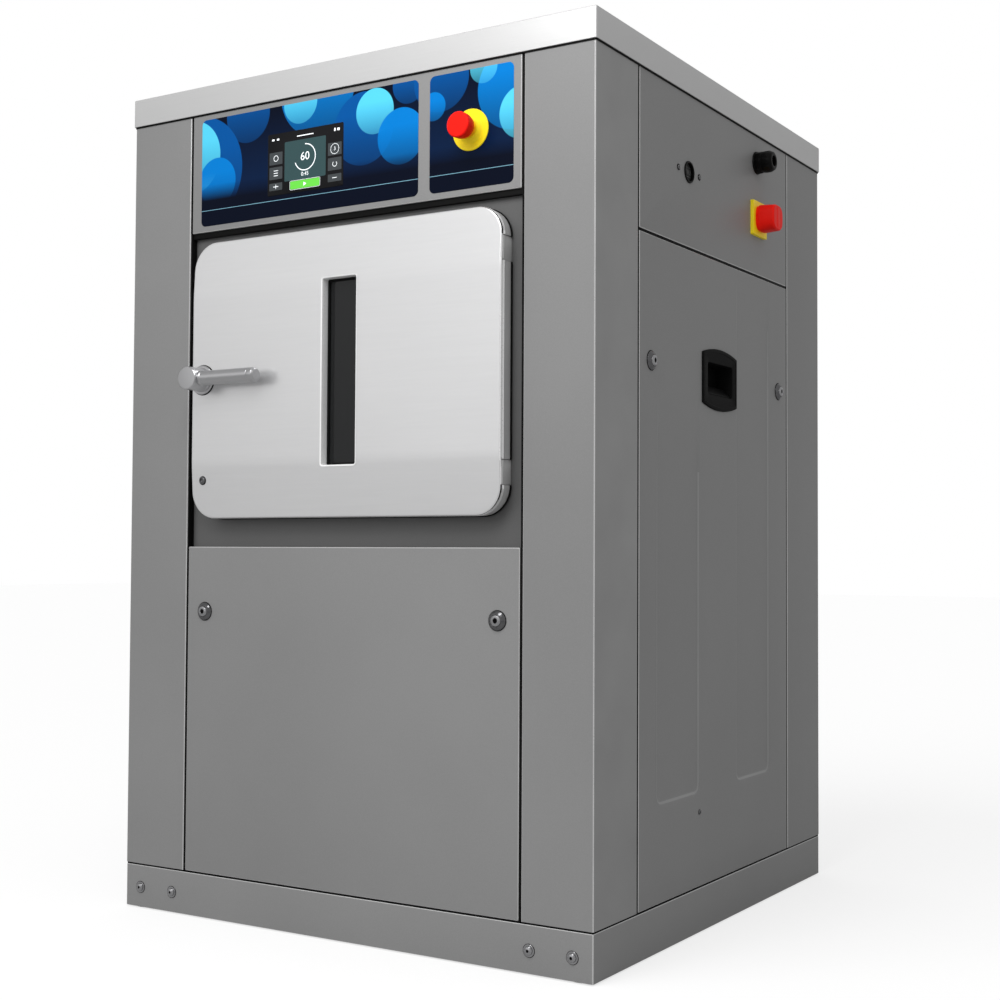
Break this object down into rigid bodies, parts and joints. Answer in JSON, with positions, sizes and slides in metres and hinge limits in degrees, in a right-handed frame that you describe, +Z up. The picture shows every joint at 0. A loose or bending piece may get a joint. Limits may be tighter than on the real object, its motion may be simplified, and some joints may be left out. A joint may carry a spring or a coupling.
{
  "type": "barrier washer",
  "caption": "Pass-through laundry washer with a horizontal drum, a loading door at the front, an unloading door at the rear, a touch screen and lockable service panels.",
  "frame": {"origin": "centre of the base on the floor, under the middle of the cabinet", "axes": "+X to the right seen from the loading side, +Y from the loading side to the unloading side, +Z up"},
  "size_m": [0.9811, 1.018, 1.38],
  "materials": {
    "body_paint": "satin",
    "recess_paint": "satin",
    "cover_steel": "brushed",
    "door_steel": "brushed",
    "handle_steel": "polished",
    "hinge_steel": "satin",
    "frame_paint": "satin",
    "film": "gloss",
    "screen": "gloss",
    "switch_yellow": "gloss",
    "switch_red": "gloss",
    "grip_black": "fine grain",
    "gland_black": "matte",
    "chrome": "polished",
    "box_grey": "matte",
    "valve_plastic": "matte",
    "drain_plastic": "matte",
    "damper_steel": "satin",
    "rod_steel": "polished",
    "spring_steel": "satin",
    "bellows_rubber": "matte",
    "window_glass": "clear, tinted",
    "tub_steel": "satin",
    "end_steel": "satin",
    "bearing_steel": "polished",
    "heater_steel": "satin",
    "motor_alloy": "cast",
    "belt_rubber": "matte",
    "drum_steel": "polished",
    "hatch_steel": "polished",
    "pulley_alloy": "cast",
    "pulley_steel": "machined"
  },
  "bodies": {
    "cabinet": {"base_frame": "frame_paint", "skirt": "body_paint", "levelling_feet": "frame_paint", "top_rails": "frame_paint", "post_front_left": "body_paint", "post_front_right": "body_paint", "post_rear_left": "body_paint", "post_rear_right": "body_paint", "top_cover": "cover_steel", "front_fascia": "body_paint", "rear_fascia": "body_paint", "graphic_films": "film", "touch_display": "screen", "switch_bases": "switch_yellow", "front_recess": "recess_paint", "rear_recess": "recess_paint", "front_lower_panel": "body_paint", "rear_lower_panel": "body_paint", "right_upper_panel": "body_paint", "left_upper_panel": "body_paint", "right_lower_panel": "body_paint", "left_lower_panel": "body_paint", "side_grips": "grip_black", "panel_fasteners": "chrome", "door_hinges": "hinge_steel", "cable_gland": "gland_black", "service_socket": "gland_black", "control_box": "box_grey", "inlet_valves": "valve_plastic", "drain_valve": "drain_plastic", "damper_cylinders": "damper_steel", "suspension_springs": "spring_steel", "door_bellows": "bellows_rubber"},
    "load_door": {"load_door": "door_steel", "load_window": "window_glass"},
    "load_handle": {"load_handle": "handle_steel"},
    "unload_door": {"unload_door": "door_steel", "unload_window": "window_glass"},
    "unload_handle": {"unload_handle": "handle_steel"},
    "front_stop": {"front_stop_button": "switch_red"},
    "rear_stop": {"rear_stop_button": "switch_red"},
    "isolator": {"isolator_knob": "switch_red"},
    "front_lock_left": {"front_lock_left": "chrome"},
    "front_lock_right": {"front_lock_right": "chrome"},
    "right_lock_front": {"right_lock_front": "chrome"},
    "right_lock_rear": {"right_lock_rear": "chrome"},
    "left_lock_front": {"left_lock_front": "chrome"},
    "left_lock_rear": {"left_lock_rear": "chrome"},
    "tub": {"tub_shell": "tub_steel", "tub_ends": "end_steel", "bearings": "bearing_steel", "heaters": "heater_steel", "drive_motor": "motor_alloy", "drive_belt": "belt_rubber", "damper_rods": "rod_steel"},
    "drum": {"drum_shell": "drum_steel", "drum_pulley": "pulley_alloy"},
    "motor_pulley": {"motor_pulley": "pulley_steel"},
    "hatch_upper": {"hatch_leaf_upper": "hatch_steel"},
    "hatch_lower": {"hatch_leaf_lower": "hatch_steel"}
  },
  "joints": [
    {"name": "load_door_swing", "type": "hinge", "parent": "cabinet", "child": "load_door", "pos_m": [0.3, -0.4582, 0.883], "axis": [0, 0, 1], "range_deg": [0, 100]},
    {"name": "load_handle_turn", "type": "hinge", "parent": "load_door", "child": "load_handle", "pos_m": [-0.2685, -0.4692, 0.883], "axis": [0, -1, 0], "range_deg": [0, 90]},
    {"name": "unload_door_swing", "type": "hinge", "parent": "cabinet", "child": "unload_door", "pos_m": [0.3, 0.4582, 0.883], "axis": [0, 0, -1], "range_deg": [0, 100]},
    {"name": "unload_handle_turn", "type": "hinge", "parent": "unload_door", "child": "unload_handle", "pos_m": [-0.2685, 0.4692, 0.883], "axis": [0, -1, 0], "range_deg": [0, 90]},
    {"name": "front_stop_push", "type": "slide", "parent": "cabinet", "child": "front_stop", "axis": [0, 1, 0], "range_m": [0, 0.005]},
    {"name": "rear_stop_push", "type": "slide", "parent": "cabinet", "child": "rear_stop", "axis": [0, -1, 0], "range_m": [0, 0.005]},
    {"name": "isolator_turn", "type": "hinge", "parent": "cabinet", "child": "isolator", "pos_m": [0.4564, 0.147, 1.185], "axis": [1, 0, 0], "range_deg": [0, 90]},
    {"name": "front_lock_left_turn", "type": "hinge", "parent": "cabinet", "child": "front_lock_left", "pos_m": [-0.279, -0.4474, 0.503], "axis": [0, 1, 0], "range_deg": [0, 90]},
    {"name": "front_lock_right_turn", "type": "hinge", "parent": "cabinet", "child": "front_lock_right", "pos_m": [0.2905, -0.4474, 0.503], "axis": [0, 1, 0], "range_deg": [0, 90]},
    {"name": "right_lock_front_turn", "type": "hinge", "parent": "cabinet", "child": "right_lock_front", "pos_m": [0.4504, -0.269, 0.893], "axis": [1, 0, 0], "range_deg": [0, 90]},
    {"name": "right_lock_rear_turn", "type": "hinge", "parent": "cabinet", "child": "right_lock_rear", "pos_m": [0.4504, 0.2434, 0.893], "axis": [1, 0, 0], "range_deg": [0, 90]},
    {"name": "left_lock_front_turn", "type": "hinge", "parent": "cabinet", "child": "left_lock_front", "pos_m": [-0.4504, -0.269, 0.893], "axis": [-1, 0, 0], "range_deg": [0, 90]},
    {"name": "left_lock_rear_turn", "type": "hinge", "parent": "cabinet", "child": "left_lock_rear", "pos_m": [-0.4504, 0.2434, 0.893], "axis": [-1, 0, 0], "range_deg": [0, 90]},
    {"name": "suspension", "type": "slide", "parent": "cabinet", "child": "tub", "axis": [0, 0, 1], "range_m": [-0.012, 0.012], "stiffness_N_per_m": 43000, "springref_m": 0.0378, "deforming": ["suspension_springs"]},
    {"name": "drum_spin", "type": "hinge", "parent": "tub", "child": "drum", "pos_m": [0, 0, 0.883], "axis": [1, 0, 0], "continuous": true},
    {"name": "motor_spin", "type": "hinge", "parent": "tub", "child": "motor_pulley", "pos_m": [-0.352, 0.15, 0.43], "axis": [1, 0, 0], "continuous": true},
    {"name": "hatch_upper_swing", "type": "hinge", "parent": "drum", "child": "hatch_upper", "pos_m": [0.007, -0.28402, 1.02153], "axis": [1, 0, 0], "range_deg": [0, 80], "stiffness_Nm_per_rad": 0.6, "springref_deg": -57.3},
    {"name": "hatch_lower_swing", "type": "hinge", "parent": "drum", "child": "hatch_lower", "pos_m": [0.007, -0.28402, 0.74447], "axis": [-1, 0, 0], "range_deg": [0, 80], "stiffness_Nm_per_rad": 0.6, "springref_deg": -57.3}
  ],
  "couplings": [
    {"joint": "motor_spin", "follows": "drum_spin", "ratio": 4.75}
  ]
}
